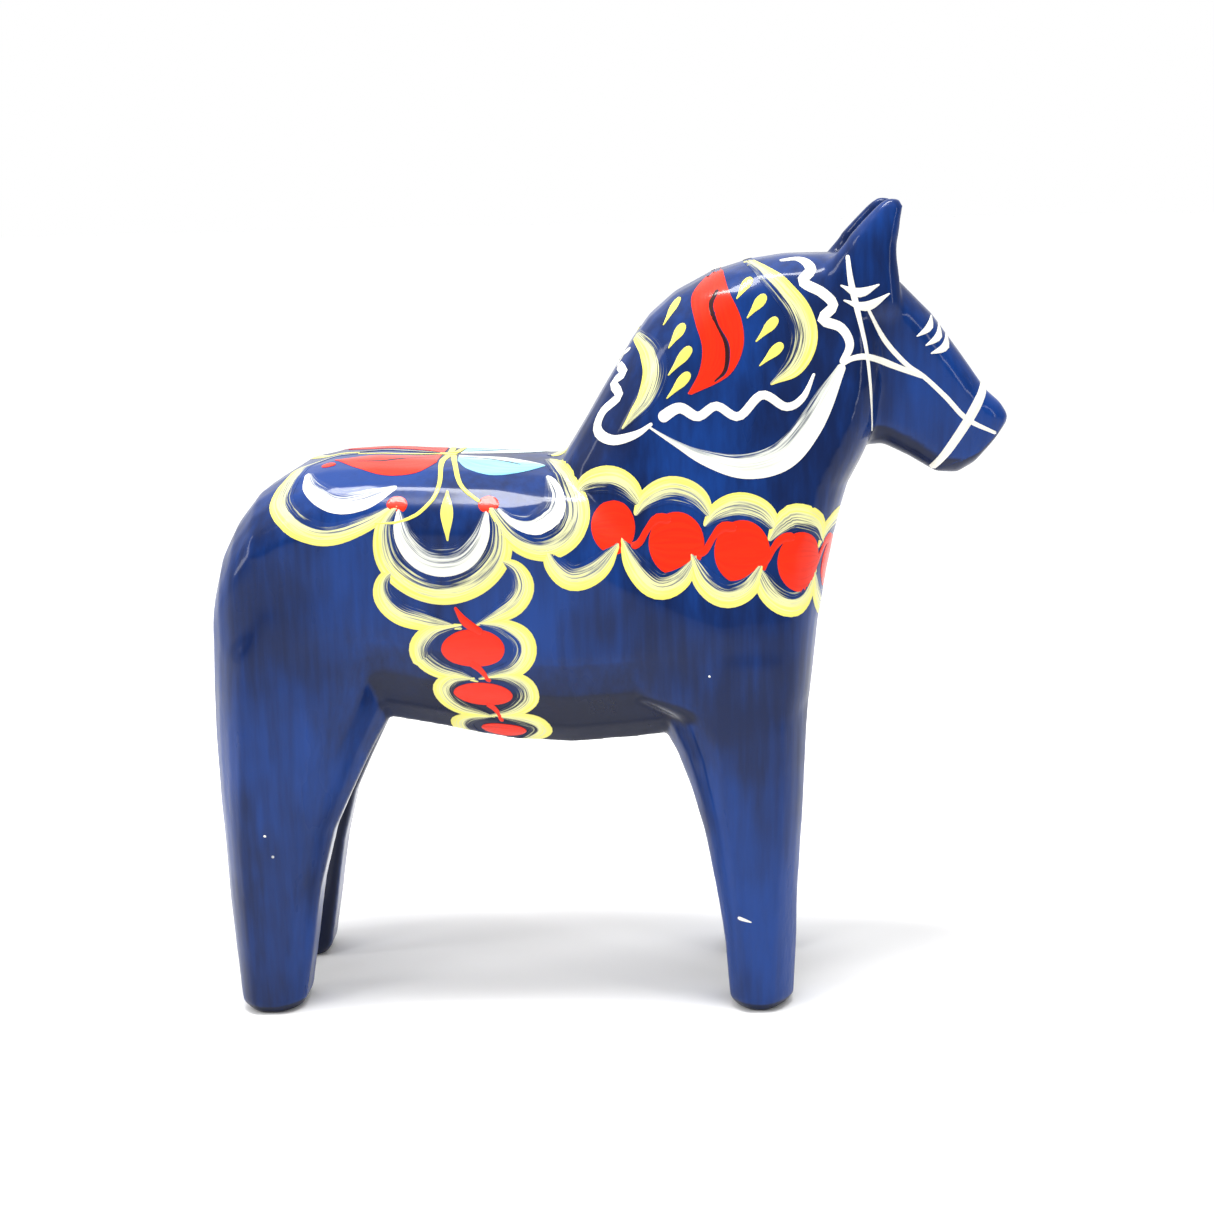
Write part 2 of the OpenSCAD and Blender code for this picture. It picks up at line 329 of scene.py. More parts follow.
@dataclass
class CarvedBody:
    """The three boards and two glue lines, carved together and enamelled all over."""

    voxel: float = 0.9 * MM
    soften: int = 8
    knife_depth: float = 0.22 * MM
    knife_size: float = 17 * MM
    seam: float = 13.5 * MM
    glue: float = 0.25 * MM
    leg_top: float = 80 * MM
    rub: int = 45
    ear_root: float = 233 * MM
    leg_zone: tuple = ((-58, 8), (33, 99), (92, 146))
    ear_zone: tuple = ((56, 88), (-1, 99), (206, 236))
    seam_catch: float = 12.5 * MM
    seam_clear: float = 0.06 * MM
    whole: bpy.types.Object = None
    tree: BVHTree = None

    def carve(self) -> None:
        """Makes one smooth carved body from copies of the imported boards."""
        copies = []
        for name in BOARDS:
            source = frame["nodes"][name]
            copy = source.copy()
            copy.data = source.data.copy()
            copy.parent = None
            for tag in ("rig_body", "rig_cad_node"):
                if tag in copy:
                    del copy[tag]
            bpy.context.scene.collection.objects.link(copy)
            copies.append(copy)
        pick(*copies)
        bpy.ops.object.join()
        self.whole = bpy.context.object
        self.whole.name = "carved_whole"
        bpy.ops.object.mode_set(mode="EDIT")
        bpy.ops.mesh.select_all(action="SELECT")
        bpy.ops.mesh.remove_doubles(threshold=WELD)
        bpy.ops.object.mode_set(mode="OBJECT")
        apply_modifier(self.whole, "REMESH", mode="VOXEL", voxel_size=self.voxel)
        self.keep_outer_skin()
        self.blend_roots()
        apply_modifier(self.whole, "SMOOTH", factor=0.5, iterations=self.soften)
        self.knife_marks()
        self.free_the_seams()
        self.tree = BVHTree.FromObject(self.whole, bpy.context.evaluated_depsgraph_get())

    def keep_outer_skin(self) -> None:
        """Deletes any crumb left inside the wood, keeping what joins on to the highest point."""
        mesh = self.whole.data
        top = max(mesh.vertices, key=lambda vertex: vertex.co.z).index
        pick(self.whole)
        bpy.ops.object.mode_set(mode="EDIT")
        bpy.ops.mesh.select_mode(type="VERT")
        bpy.ops.mesh.select_all(action="DESELECT")
        bpy.ops.object.mode_set(mode="OBJECT")
        mesh.vertices[top].select = True
        bpy.ops.object.mode_set(mode="EDIT")
        bpy.ops.mesh.select_linked()
        bpy.ops.mesh.select_all(action="INVERT")
        bpy.ops.mesh.delete(type="VERT")
        bpy.ops.object.mode_set(mode="OBJECT")

    def blend_roots(self) -> None:
        """Rubs down the places where the legs and ears grow out, so that no ledge is left."""
        group = self.whole.vertex_groups.new(name="roots")
        chosen = []
        for vertex in self.whole.data.vertices:
            spot = (vertex.co.x / MM, abs(vertex.co.y) / MM, vertex.co.z / MM)
            if self.at_leg(spot) or self.at_ear(spot):
                chosen.append(vertex.index)
        group.add(chosen, 1.0, "REPLACE")
        apply_modifier(self.whole, "SMOOTH", factor=0.5, iterations=self.rub, vertex_group="roots")

    def at_leg(self, spot: Point) -> bool:
        """Tells whether a place is at a leg's root: low on the flank, but not mid-belly."""
        (back, front), (inner, outer), (low, high) = self.leg_zone
        return low < spot[2] < high and inner < spot[1] < outer and not back < spot[0] < front

    def at_ear(self, spot: Point) -> bool:
        """Tells whether a place is at an ear's root."""
        return all(low < place < high for place, (low, high) in zip(spot, self.ear_zone))

    def knife_marks(self) -> None:
        """Leaves the faint hollows of the knife all over, the same on both sides."""
        mesh = self.whole.data
        facing = [normal.vector.copy() for normal in mesh.vertex_normals]
        places = []
        for vertex, normal in zip(mesh.vertices, facing):
            spot = Vector((vertex.co.x, abs(vertex.co.y), vertex.co.z))
            depth = noise.noise(spot / self.knife_size) * self.knife_depth
            places.extend(vertex.co + normal * depth)
        mesh.vertices.foreach_set("co", places)
        mesh.update()

    def free_the_seams(self) -> None:
        """Moves the inner faces of legs and ears just clear of the planes between the boards."""
        clear = self.seam + self.seam_clear
        for vertex in self.whole.data.vertices:
            spot = vertex.co
            loose = spot.z < self.leg_top or spot.z > self.ear_root
            if loose and self.seam_catch < abs(spot.y) < clear:
                spot.y = math.copysign(clear, spot.y)
        self.whole.data.update()

    def slice(self, name: str, low: float | None, high: float | None) -> bpy.types.Object:
        """Cuts one board or glue line out of the carved body.

        Args:
            name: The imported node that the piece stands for.
            low: Where the piece starts across the horse, or None for its outer side.
            high: Where the piece ends across the horse, or None for its outer side.

        Returns:
            The closed piece.
        """
        piece = self.whole.copy()
        piece.data = self.whole.data.copy()
        piece.name = "painted_" + name
        bpy.context.scene.collection.objects.link(piece)
        pick(piece)
        bpy.ops.object.mode_set(mode="EDIT")
        for place, facing in ((low, 1), (high, -1)):
            if place is None:
                continue
            bpy.ops.mesh.select_all(action="SELECT")
            bpy.ops.mesh.bisect(plane_co=(0, place, 0), plane_no=(0, facing, 0), use_fill=True,
                                clear_inner=True, threshold=WELD)
        bpy.ops.object.mode_set(mode="OBJECT")
        bpy.ops.object.shade_smooth_by_angle(angle=CRISP)
        return piece

    def build(self, enamel: bpy.types.Material) -> None:
        """Carves, splits and enamels the boards and glue lines."""
        self.carve()
        inner = self.seam - self.glue
        cuts = {"right_flank_board": (None, -self.seam), "right_glue_line": (-self.seam, -inner),
                "centre_board": (-inner, inner), "left_glue_line": (inner, self.seam),
                "left_flank_board": (self.seam, None)}
        for name, (low, high) in cuts.items():
            piece = self.slice(name, low, high)
            piece.data.materials.clear()
            piece.data.materials.append(enamel)
            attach(piece, "root")
            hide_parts(name)
            LOG.info("%s: %d faces", piece.name, len(piece.data.polygons))

    def clear_away(self) -> None:
        """Removes the uncut body once the strokes have been laid on it."""
        bpy.data.objects.remove(self.whole)


# ---------------------------------------------------------------- brush strokes


@dataclass
class Stroke:
    """One touch of the brush.

    Points and widths are in millimetres. Widths are spread evenly along the stroke. The brush's
    full edge is on the left of its way, seen from outside on the right flank, unless flipped.
    """

    points: list[Point]
    widths: list[float]
    chart: Chart = Chart.FLANK
    lift: float = 0.18
    flip: bool = False
    round_end: float = 0.0
    once: bool = False


@dataclass
class Patch:
    """A leaf or petal, filled between two edges that run the same way."""

    first: list[Point]
    second: list[Point]
    chart: Chart = Chart.FLANK
    lift: float = 0.22
    once: bool = False


class Canvas:
    """Lays strokes on the carved surface as thin closed layers of paint."""

    lanes = 7

    def __init__(self, tree: BVHTree) -> None:
        """Keeps the search tree of the carved surface."""
        self.tree = tree
        self.trunk = self.trunk_outline()
        self.breast = self.breast_outline()

    @staticmethod
    def trunk_outline() -> list[tuple[float, float, float]]:
        """Returns the trunk's plain section as (way from the spine, half-width, height)."""
        half, top, bottom = 40.0, 171.0, 84.0
        round_w, round_h, bevel_w, bevel_h = 25, 18, 21, 30
        outline = [(0.0, top)]
        for step in range(17):
            turn = math.radians(90 * step / 16)
            outline.append((half - round_w + round_w * math.sin(turn),
                            top - round_h + round_h * math.cos(turn)))
        outline += [(half, bottom + bevel_h), (half - bevel_w, bottom), (0.0, bottom)]
        return Canvas.measured(outline)

    @staticmethod
    def breast_outline() -> list[tuple[float, float, float]]:
        """Returns the chest's plain plan as (way along it, length, half-width)."""
        corner, round_l, flat, round_w = 54, 11, 20, 18
        outline = [(-60.0, 38.0), (54.0, 38.0)]
        for step in range(1, 9):
            turn = math.radians(90 * step / 8)
            outline.append((corner + round_l * math.sin(turn), flat + round_w * math.cos(turn)))
        outline += [(66.0, 0.0), (65.0, -20.0)]
        return Canvas.measured(outline, -60.0)

    @staticmethod
    def measured(outline: list[Point], start: float = 0.0) -> list[tuple[float, float, float]]:
        """Puts the way travelled in front of each point of an outline."""
        way, made = start, []
        for index, (a, b) in enumerate(outline):
            if index:
                way += math.hypot(a - outline[index - 1][0], b - outline[index - 1][1])
            made.append((way, a, b))
        return made

    @staticmethod
    def follow(outline: list[tuple[float, float, float]], way: float) -> tuple[Point, Point]:
        """Finds the place and the outward normal some way along an outline.

        Args:
            outline: Points with the way travelled to each.
            way: How far along, in millimetres.

        Returns:
            The place and the normal, both flat.
        """
        index = 1
        while index < len(outline) - 1 and outline[index][0] < way:
            index += 1
        (w0, a0, b0), (w1, a1, b1) = outline[index - 1], outline[index]
        share = (way - w0) / (w1 - w0)
        da, db = (a1 - a0) / (w1 - w0), (b1 - b0) / (w1 - w0)
        return (a0 + (a1 - a0) * share, b0 + (b1 - b0) * share), (-db, da)

    def touch(self, chart: Chart, spot: Point, side: int) -> tuple[Vector, Vector]:
        """Finds where a chart's point lies on the carved surface.

        Args:
            chart: How the point is laid out.
            spot: The point, in millimetres.
            side: The sign of Y.

        Returns:
            The place and the surface normal, in metres.
        """
        reach, core = 40.0, 12
        if chart is Chart.FLANK:
            base, out = Vector((spot[0], side * core, spot[1])), Vector((0, side, 0))
        elif chart is Chart.BARREL:
            sign = side if spot[1] >= 0 else -side
            (y, z), (ny, nz) = self.follow(self.trunk, abs(spot[1]))
            out = Vector((0, -ny * sign, -nz))
            base = Vector((spot[0], y * sign, z))
            if out.z < 0 and z > 150:
                out = -out
        else:
            (x, y), (nx, ny) = self.follow(self.breast, spot[0])
            out = Vector((-nx, -ny * side, 0))
            if out.y * side < 0 or (abs(out.y) < 1e-6 and out.x < 0):
                out = -out
            base = Vector((x, y * side, spot[1]))
        start = (base + out * reach) * MM
        place, normal, _, _ = self.tree.ray_cast(start, -out, 2.2 * reach * MM)
        if place is None:
            place, normal, _, _ = self.tree.find_nearest(base * MM)
        return place, normal

    @staticmethod
    def curve(points: list[Point], step: float) -> list[Point]:
        """Returns a smooth line through the points, in even steps.

        Args:
            points: The points that the line goes through.
            step: The distance between its samples, in millimetres.
        """
        ends = [tuple(2 * a - b for a, b in zip(points[0], points[1])), *points,
                tuple(2 * a - b for a, b in zip(points[-1], points[-2]))]
        fine = []
        for i in range(1, len(ends) - 2):
            p0, p1, p2, p3 = (Vector(ends[i + k]) for k in (-1, 0, 1, 2))
            for k in range(12):
                t = k / 12
                fine.append(0.5 * (2 * p1 + (p2 - p0) * t + (2 * p0 - 5 * p1 + 4 * p2 - p3) * t * t
                                   + (3 * p1 - p0 - 3 * p2 + p3) * t ** 3))
        fine.append(Vector(points[-1]))
        length = sum((b - a).length for a, b in zip(fine, fine[1:]))
        count = max(6, round(length / step))
        out, walked, index = [tuple(fine[0])], 0.0, 0
        for k in range(1, count):
            goal = length * k / count
            while walked + (fine[index + 1] - fine[index]).length < goal:
                walked += (fine[index + 1] - fine[index]).length
                index += 1
            gap = (fine[index + 1] - fine[index]).length
            out.append(tuple(fine[index].lerp(fine[index + 1], (goal - walked) / gap)))
        return out + [tuple(fine[-1])]

    @staticmethod
    def width_at(widths: list[float], t: float) -> float:
        """Returns the stroke's width at a share of its length, as one smooth line."""
        padded = [widths[0], *widths, widths[-1]]
        place = t * (len(widths) - 1)
        index = min(int(place), len(widths) - 2)
        u = place - index
        p0, p1, p2, p3 = padded[index:index + 4]
        slope, bend = p2 - p0, 2 * p0 - 5 * p1 + 4 * p2 - p3
        return 0.5 * (2 * p1 + slope * u + bend * u * u + (3 * p1 - p0 - 3 * p2 + p3) * u ** 3)

    def lay(self, stroke: Stroke, side: int, mesh: "PaintMesh") -> None:
        """Adds one stroke to a mesh of paint.

        Args:
            stroke: The stroke.
            side: The sign of Y.
            mesh: What the stroke is added to.
        """
        fine = self.curve(stroke.points, 0.4)
        count = max(8, round(len(fine) * 0.45))
        shares = [0.5 - 0.5 * math.cos(math.pi * i / count) for i in range(count + 1)]
        line = [self.touch(stroke.chart, self.between(fine, t), side) for t in shares]
        ways = [0.0]
        for (a, _), (b, _) in zip(line, line[1:]):
            ways.append(ways[-1] + (b - a).length)
        rows = []
        for index, (place, normal) in enumerate(line):
            before, after = line[max(0, index - 1)][0], line[min(count, index + 1)][0]
            across = normal.cross(after - before).normalized() * side
            half = self.width_at(stroke.widths, shares[index]) * MM / 2
            ends = min(ways[index], ways[-1] - ways[index])
            curl = stroke.round_end * MM or max(half, 0.3 * MM)
            half *= max(0.05, math.sqrt(1 - (1 - min(1.0, ends / curl)) ** 2))
            row = []
            for lane in range(self.lanes):
                share = lane / (self.lanes - 1)
                found, facing, _, _ = self.tree.find_nearest(place + across * (share * 2 - 1) * half)
                row.append((found, facing, self.rise(stroke.lift, share), ways[index] * 100,
                            1 - share if stroke.flip else share))
            rows.append(row)
        mesh.add_ribbon(rows, side)

    def fill(self, patch: Patch, side: int, mesh: "PaintMesh") -> None:
        """Adds one leaf or petal to a mesh of paint.

        Args:
            patch: The leaf or petal.
            side: The sign of Y.
            mesh: What it is added to.
        """
        first, second = self.curve(patch.first, 0.4), self.curve(patch.second, 0.4)
        count = max(len(first), len(second)) // 2
        rows, way = [], 0.0
        for index in range(count + 1):
            t = 0.004 + 0.992 * (0.5 - 0.5 * math.cos(math.pi * index / count))
            a, b = Vector(self.between(first, t)), Vector(self.between(second, t))
            row = []
            for lane in range(self.lanes + 6):
                share = lane / (self.lanes + 5)
                found, facing = self.touch(patch.chart, tuple(a.lerp(b, share)), side)
                row.append([found, facing, self.rise(patch.lift, share), 0.0, share])
            if rows:
                way += (row[6][0] - rows[-1][6][0]).length * 100
            for cell in row:
                cell[3] = way
            rows.append(row)
        mesh.add_ribbon(rows, side)

    @staticmethod
    def rise(lift: float, share: float) -> float:
        """Returns how far the paint stands proud at a share of the brush's width, in metres."""
        return (lift - 0.1 * abs(share * 2 - 1) ** 3) * MM

    @staticmethod
    def between(line: list[Point], t: float) -> Point:
        """Returns the point at a share of an evenly stepped line."""
        place = t * (len(line) - 1)
        index = min(int(place), len(line) - 2)
        return tuple(Vector(line[index]).lerp(Vector(line[index + 1]), place - index))


@dataclass
class PaintMesh:
    """Vertices, faces and brush coordinates of the strokes that make one piece."""

    points: list[Vector] = field(default_factory=list)
    faces: list[tuple[int, ...]] = field(default_factory=list)
    marks: list[tuple[float, float]] = field(default_factory=list)
    root: float = 0.3 * MM

    def add_ribbon(self, rows: list[list[tuple]], side: int) -> None:
        """Adds a closed ribbon: its painted top, its underside in the wood, and its rim.

        Args:
            rows: Cross-sections of (place, normal, rise, way along, share across).
            side: The sign of Y, which decides which way the faces wind.
        """
        start = len(self.points)
        count, lanes = len(rows), len(rows[0])
        shift = (start * 0.37) % 17
        for level in (1, 0):
            for row in rows:
                for place, normal, rise, way, share in row:
                    self.points.append(place + normal * (rise if level else -self.root))
                    self.marks.append((way + shift, share))

        def corner(level: int, i: int, j: int) -> int:
            """Returns a grid corner's index; level 0 is the top."""
            return start + level * count * lanes + i * lanes + j

        quads = []
        for i in range(count - 1):
            for j in range(lanes - 1):
                quads.append((corner(0, i, j), corner(0, i + 1, j),
                              corner(0, i + 1, j + 1), corner(0, i, j + 1)))
                quads.append((corner(1, i, j), corner(1, i, j + 1),
                              corner(1, i + 1, j + 1), corner(1, i + 1, j)))
        for i in range(count - 1):
            last = lanes - 1
            quads.append((corner(0, i, 0), corner(1, i, 0),
                          corner(1, i + 1, 0), corner(0, i + 1, 0)))
            quads.append((corner(0, i, last), corner(0, i + 1, last),
                          corner(1, i + 1, last), corner(1, i, last)))
        for j in range(lanes - 1):
            last = count - 1
            quads.append((corner(0, 0, j), corner(0, 0, j + 1),
                          corner(1, 0, j + 1), corner(1, 0, j)))
            quads.append((corner(0, last, j), corner(1, last, j),
                          corner(1, last, j + 1), corner(0, last, j + 1)))
        if side > 0:
            quads = [tuple(reversed(quad)) for quad in quads]
        self.faces += quads

    def make(self, name: str, material: bpy.types.Material, slot: str) -> bpy.types.Object:
        """Returns the strokes as one object that rides on the horse.

        Args:
            name: The piece's name.
            material: Its paint.
            slot: The record's material slot; not used.
        """
        mesh = bpy.data.meshes.new(name)
        mesh.from_pydata([tuple(p) for p in self.points], [], self.faces)
        layer = mesh.uv_layers.new(name="Stroke")
        for loop in mesh.loops:
            layer.data[loop.index].uv = self.marks[loop.vertex_index]
        mesh.materials.append(material)
        item = bpy.data.objects.new(name, mesh)
        bpy.context.scene.collection.objects.link(item)
        pick(item)
        bpy.ops.object.mode_set(mode="EDIT")
        bpy.ops.mesh.select_all(action="SELECT")
        bpy.ops.mesh.normals_make_consistent(inside=False)
        bpy.ops.object.mode_set(mode="OBJECT")
        bpy.ops.object.shade_smooth_by_angle(angle=CRISP)
        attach(item, "root")
        LOG.info("%s: %d faces", name, len(mesh.polygons))
        return item


@dataclass
class Motif:
    """Strokes of one colour that belong together, painted alike on both sides."""

    name: str
    slot: str
    paint: BrushPaint
    strokes: list[Stroke | Patch]

    def paint_on(self, canvas: Canvas, enamel: Enamel) -> bpy.types.Object:
        """Lays the strokes on both sides and returns the piece."""
        mesh = PaintMesh()
        for side in Side:
            for index, stroke in enumerate(self.strokes):
                if stroke.once and side is Side.LEFT:
                    continue
                if side is Side.RIGHT:
                    stroke.lift += 0.015 * (index % 4)
                if isinstance(stroke, Patch):
                    canvas.fill(stroke, side.value, mesh)
                else:
                    canvas.lay(stroke, side.value, mesh)
        return mesh.make(self.name, self.paint.make(enamel), self.slot)


YELLOW, STRAW = linear(234, 225, 98), linear(222, 221, 166)
WHITE, CREAM = linear(240, 238, 226), linear(204, 207, 198)
RED, DEEP_RED = linear(232, 40, 3), linear(190, 14, 6)
SKY, BROWN = linear(120, 196, 222), linear(46, 14, 16)

YELLOW_LOADED = BrushPaint("yellow_double_loaded", YELLOW, STRAW, pale_below=0.7, dry_below=0.36,
                           depth=0.32)
WHITE_LOADED = BrushPaint("white_double_loaded", WHITE, CREAM, pale_below=0.6, dry_below=0.36)
YELLOW_FULL = BrushPaint("yellow_paint", YELLOW, STRAW, depth=0.2)
WHITE_FULL = BrushPaint("white_paint", WHITE, CREAM, depth=0.3)
WHITE_WORN = BrushPaint("white_crescent_paint", WHITE, CREAM, pale_below=0.4, dry_below=0.06,
                        depth=0.35)
RED_FULL = BrushPaint("red_paint", RED, DEEP_RED, depth=0.3)
SKY_FULL = BrushPaint("light_blue_paint", SKY, WHITE, pale_below=0.2, depth=0.25)
BROWN_FULL = BrushPaint("brown_paint", BROWN, BROWN, dry_below=0.1, depth=0.1)


def bead(x: float, z: float, wide: float, tall: float, chart: Chart, once: bool = False) -> Stroke:
    """Returns one round dab of the brush.

    Args:
        x: Its middle, along the chart's first way.
        z: Its middle, along the chart's second way.
        wide: Its size along the first way.
        tall: Its size along the second way.
        chart: How it is laid out.
        once: Whether it sits on the middle line, and so is painted once.
    """
    return Stroke([(x - wide / 2, z), (x, z), (x + wide / 2, z)], [tall, tall, tall], chart, 0.2,
                  round_end=wide / 2, once=once)


def saddle() -> list[Motif]:
    """Returns the flower and scallops over the back."""
    barrel = Chart.BARREL
    yellow = [
        Stroke([(-78, 1.5), (-87, 4), (-92.5, 12), (-95, 22), (-97, 36), (-92, 45.5), (-82.5, 49),
                (-71, 46), (-61.5, 40)], [1, 3, 5.5, 7, 8, 8, 7, 5.5, 2], barrel),
        Stroke([(-60.5, 39), (-65, 47), (-64, 57), (-57, 64), (-47.5, 66.5), (-38, 63.5),
                (-31.5, 56), (-31, 47), (-35, 39)], [2, 5.5, 8, 8.5, 8.5, 8.5, 8, 5.5, 2], barrel),
        Stroke([(-35, 39), (-27.5, 50), (-18.5, 54), (-10.5, 50), (-8.5, 40.5), (-11, 28),
                (-15, 16), (-18, 4)], [2, 6, 8, 8.5, 8, 7.5, 6, 4], barrel),
        Stroke([(-78, 2), (-70, 4), (-61, 3), (-52, 1)], [0.8, 1.6, 1.6, 1], barrel),
    ]
    white = [
        # The rear white scallop is drawn wide, across the glare on the back: partly real paint, partly
        # painted highlight.
        Stroke([(-90, 23), (-87, 32), (-80, 38), (-72, 37.5), (-62, 33)], [2.5, 7, 9, 8, 2], barrel),
        Stroke([(-61, 41.5), (-59, 50), (-54, 56), (-48, 57.5), (-42, 56), (-37, 50),
                (-35, 42.5)], [2, 6, 8.5, 9.5, 8.5, 6, 2], barrel),
        Stroke([(-31.5, 41.5), (-26.5, 46), (-20.5, 46.5), (-15.5, 41.5), (-14.5, 34), (-17.5, 25)],
               [1.5, 5.5, 8, 8, 6.5, 2], barrel),
    ]
    lines = [
        Stroke([(-46.8, 34.5), (-46.6, 43), (-46.4, 51.5)], [0.6, 3.8, 0.6], barrel, 0.2),
        Stroke([(-49.5, 3), (-50, 18), (-49.5, 33), (-53.5, 41.5), (-60.5, 45.5), (-68, 46)],
               [2, 1.8, 1.4, 1.2, 1, 0.6], barrel, 0.24),
        Stroke([(-48, 3), (-46, 18), (-43, 32), (-37, 39)], [1.8, 1.6, 1.4, 1], barrel, 0.24),
        bead(-49.8, 0, 5.5, 4.5, barrel, once=True),
    ]
    red = [
        Patch([(-51.5, 2), (-57, 6.5), (-66, 8.5), (-75, 9), (-83.5, 13)],
              [(-51.5, 17), (-56, 25.5), (-66, 27.5), (-75, 23), (-83.5, 13.5)], barrel),
        bead(-61.5, 40, 6.2, 6.2, barrel), bead(-34.3, 40, 6.2, 6.2, barrel),
        bead(-84.5, 18.5, 4.4, 4, barrel),
    ]
    sky = [Patch([(-46.5, 2), (-40, 3.5), (-32, 5.5), (-25, 10), (-18.5, 16.5)],
                 [(-45.5, 15), (-41.5, 23), (-34, 26.5), (-26, 24), (-18.5, 17)], barrel)]
    veins = [Stroke([(-53, 9), (-60, 13), (-68, 17.5), (-76, 17)], [0.8, 1.6, 1.6, 0.6], barrel, 0.26),
             Stroke([(-44.5, 7), (-38, 9.5), (-31.5, 14), (-26, 17)], [0.8, 1.4, 1.4, 0.6], barrel, 0.26)]
    return [Motif("saddle_yellow_scallops", "yellow_paint", YELLOW_LOADED, yellow),
            Motif("saddle_white_scallops", "white_paint", WHITE_LOADED, white),
            Motif("saddle_red_petals", "red_paint", RED_FULL, red),
            Motif("saddle_light_blue_petals", "light_blue_paint", SKY_FULL, sky),
            Motif("saddle_dark_veins", "red_paint", BROWN_FULL, veins),
            Motif("saddle_yellow_stems", "yellow_paint", YELLOW_FULL, lines)]


def girth() -> list[Motif]:
    """Returns the band of cups and beads under the belly."""
    barrel = Chart.BARREL
    taper = [0.8, 4, 6.5, 7, 6.5, 4, 0.8]
    left = [[(-60, 59), (-65.5, 62.5), (-66, 68), (-61.5, 73), (-54, 75.5), (-47, 77), (-43, 78)],
            [(-43, 77), (-51, 78.5), (-55.5, 83), (-55, 88.5), (-50.5, 92.5), (-44, 94), (-39, 96)],
            [(-40, 95), (-46.5, 95.5), (-49.8, 99), (-49, 104), (-45, 108), (-40, 109.5), (-35, 111)],
            [(-36, 111), (-42.5, 112.5), (-46, 116.5), (-45, 121.5), (-41, 125.5), (-35, 127)]]
    right = [[(-32, 57), (-26.5, 60), (-24.5, 65.5), (-27, 70.5), (-32.5, 74), (-39, 77)],
             [(-38, 76.5), (-31, 77.5), (-25.5, 81), (-24.5, 86), (-28, 91), (-33.5, 93), (-39, 95)],
             [(-37, 94.5), (-30.5, 94), (-25.5, 97), (-24.5, 102), (-27.5, 106.5), (-32, 109),
              (-37, 110.5)],
             [(-35, 110.5), (-28, 111.5), (-22.5, 114), (-21.5, 118.5), (-25, 123), (-31, 126.5)]]
    cups = [Stroke(points, taper, barrel) for points in left]
    cups += [Stroke(points, taper, barrel, flip=True) for points in right]
    beads = [bead(-40, 84.5, 19, 12.5, barrel), bead(-38, 101, 18, 9.5, barrel),
             bead(-33, 118.5, 14, 8, barrel),
             Stroke([(-45, 71.5), (-42, 76), (-37, 79.5)], [0.8, 2.6, 2], barrel, 0.24),
             Stroke([(-41, 89), (-38, 92), (-35.5, 96)], [3, 1.8, 1.6], barrel, 0.24),
             Stroke([(-37, 105), (-34.5, 108), (-33, 113)], [2.4, 1.6, 1.4], barrel, 0.24)]
    return [Motif("girth_yellow_cups", "yellow_paint", YELLOW_LOADED, cups),
            Motif("girth_red_beads", "red_paint", RED_FULL, beads)]


def chest_band() -> list[Motif]:
    """Returns the scalloped band along the shoulder and round the chest."""
    chest = Chart.CHEST
    upper = [[(-9, 161), (-6, 165), (0.5, 167), (6.5, 165), (11.5, 158.5)],
             [(9, 156.5), (12.5, 161), (19.5, 163.8), (27, 161.5), (32, 155)],
             [(29.5, 153), (33.5, 157), (40, 158.8), (47, 156.5), (51.5, 150.5)],
             [(48.5, 148.5), (52.5, 153), (58.5, 155.3), (64.5, 152.5), (67.5, 147)],
             [(65.5, 145.5), (69.5, 150.5), (76, 152.5), (82.5, 150), (86, 144.5)]]
    lower = [[(-18, 149), (-14.5, 142.5), (-9.5, 139), (-2.5, 141.5), (4, 148.5)],
             [(5, 150), (9.5, 141.5), (15.5, 136), (22, 137.8), (27, 144.5)],
             [(25.5, 145), (29.5, 137), (35.5, 133), (42, 135), (46.5, 142)],
             [(44.5, 142.5), (48.5, 134), (54.5, 130), (60.5, 131.8), (65.5, 139)],
             [(64, 139), (68, 131.5), (74, 128), (80, 130), (85, 137.5)]]
    taper = [1.6, 6, 8, 8, 6, 1.6]
    scallops = [Stroke(points, taper, chest, flip=True) for points in upper]
    scallops += [Stroke(points, taper, chest) for points in lower]
    scallops += [Stroke([(84.5, 143), (89, 149.5), (98.5, 152), (108, 149.5), (112.5, 143)],
                        [1, 6, 7.5, 6, 1], chest, flip=True, once=True),
                 Stroke([(84.5, 138), (89, 131.5), (98.5, 128.5), (108, 131.5), (112.5, 138)],
                        [1, 6, 7.5, 6, 1], chest, once=True)]
    beads = [bead(x, z, wide, tall, chest)
             for x, z, wide, tall in ((2.5, 153, 13, 16.5), (21.2, 148, 16.5, 19), (40.6, 145.3, 16.5, 19),
                                      (58.5, 142, 15, 18), (76, 140, 14, 16))]
    beads.append(bead(98.3, 139.5, 15, 17, chest, once=True))
    beads += [Stroke([(x - 13.5, z - 0.5), (x - 11, z + 0.5), (x - 8.5, z + 4.5), (x - 5.5, z + 7.5),
                      (x - 1.5, z + 7)], [2.4, 2, 2, 3, 3], chest, 0.24)
              for x, z in ((21.2, 148), (40.6, 145.3), (58.5, 142), (76, 140))]
    return [Motif("chest_yellow_scallops", "yellow_paint", YELLOW_LOADED, scallops),
            Motif("chest_red_beads", "red_paint", RED_FULL, beads)]


